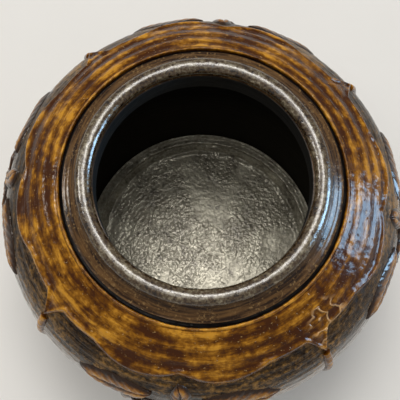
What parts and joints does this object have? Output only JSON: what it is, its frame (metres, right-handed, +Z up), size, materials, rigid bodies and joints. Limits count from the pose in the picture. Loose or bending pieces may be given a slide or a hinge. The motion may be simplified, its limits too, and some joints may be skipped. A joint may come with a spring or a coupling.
{
  "type": "storage jar",
  "caption": "Open wide-mouthed stoneware storage jar with a rolled lip, a foliate shoulder collar and relief panels, standing on a foot ring.",
  "frame": {"origin": "centre of the foot ring on the plane the jar stands on", "axes": "+Z up along the jar's axis through the mouth; -Y faces the middle of the front relief panel; +X to the right"},
  "size_m": [0.2502, 0.2502, 0.21],
  "materials": {
    "bare_clay": "bare fired clay, fine and matte",
    "interior_glaze": "grey-brown orange-peel salt glaze with a metallic sheen",
    "side_glaze": "dark brown gloss glaze over fine turned lines",
    "ground_glaze": "rough dark olive glaze",
    "neck_glaze": "dark purple-brown gloss glaze with brown flecks",
    "lip_glaze": "mottled grey-brown glaze, worn thin and pale on the crest",
    "amber_glaze": "amber gloss glaze streaked dark brown along the throwing rings",
    "relief_glaze": "amber-brown gloss glaze pooled dark in the hollows"
  },
  "bodies": {
    "root": {"foot_ring": "bare_clay", "base_disc": "interior_glaze", "corner_coil": "interior_glaze", "lower_wall": "side_glaze", "belly_wall": "ground_glaze", "shoulder_wall": "ground_glaze", "neck_ring": "neck_glaze", "rolled_lip": "lip_glaze", "neck_bead": "amber_glaze", "cloud_collar": "amber_glaze", "lower_band": "amber_glaze", "post_front_right": "amber_glaze", "post_back_right": "amber_glaze", "post_back_left": "amber_glaze", "post_front_left": "amber_glaze", "blossom_front": "relief_glaze", "blossom_right": "relief_glaze", "blossom_back": "relief_glaze", "blossom_left": "relief_glaze", "seed_head_front": "relief_glaze", "seed_head_right": "relief_glaze", "seed_head_back": "relief_glaze", "seed_head_left": "relief_glaze", "leaf_spray_front": "relief_glaze", "leaf_spray_right": "relief_glaze", "leaf_spray_back": "relief_glaze", "leaf_spray_left": "relief_glaze"}
  },
  "joints": []
}
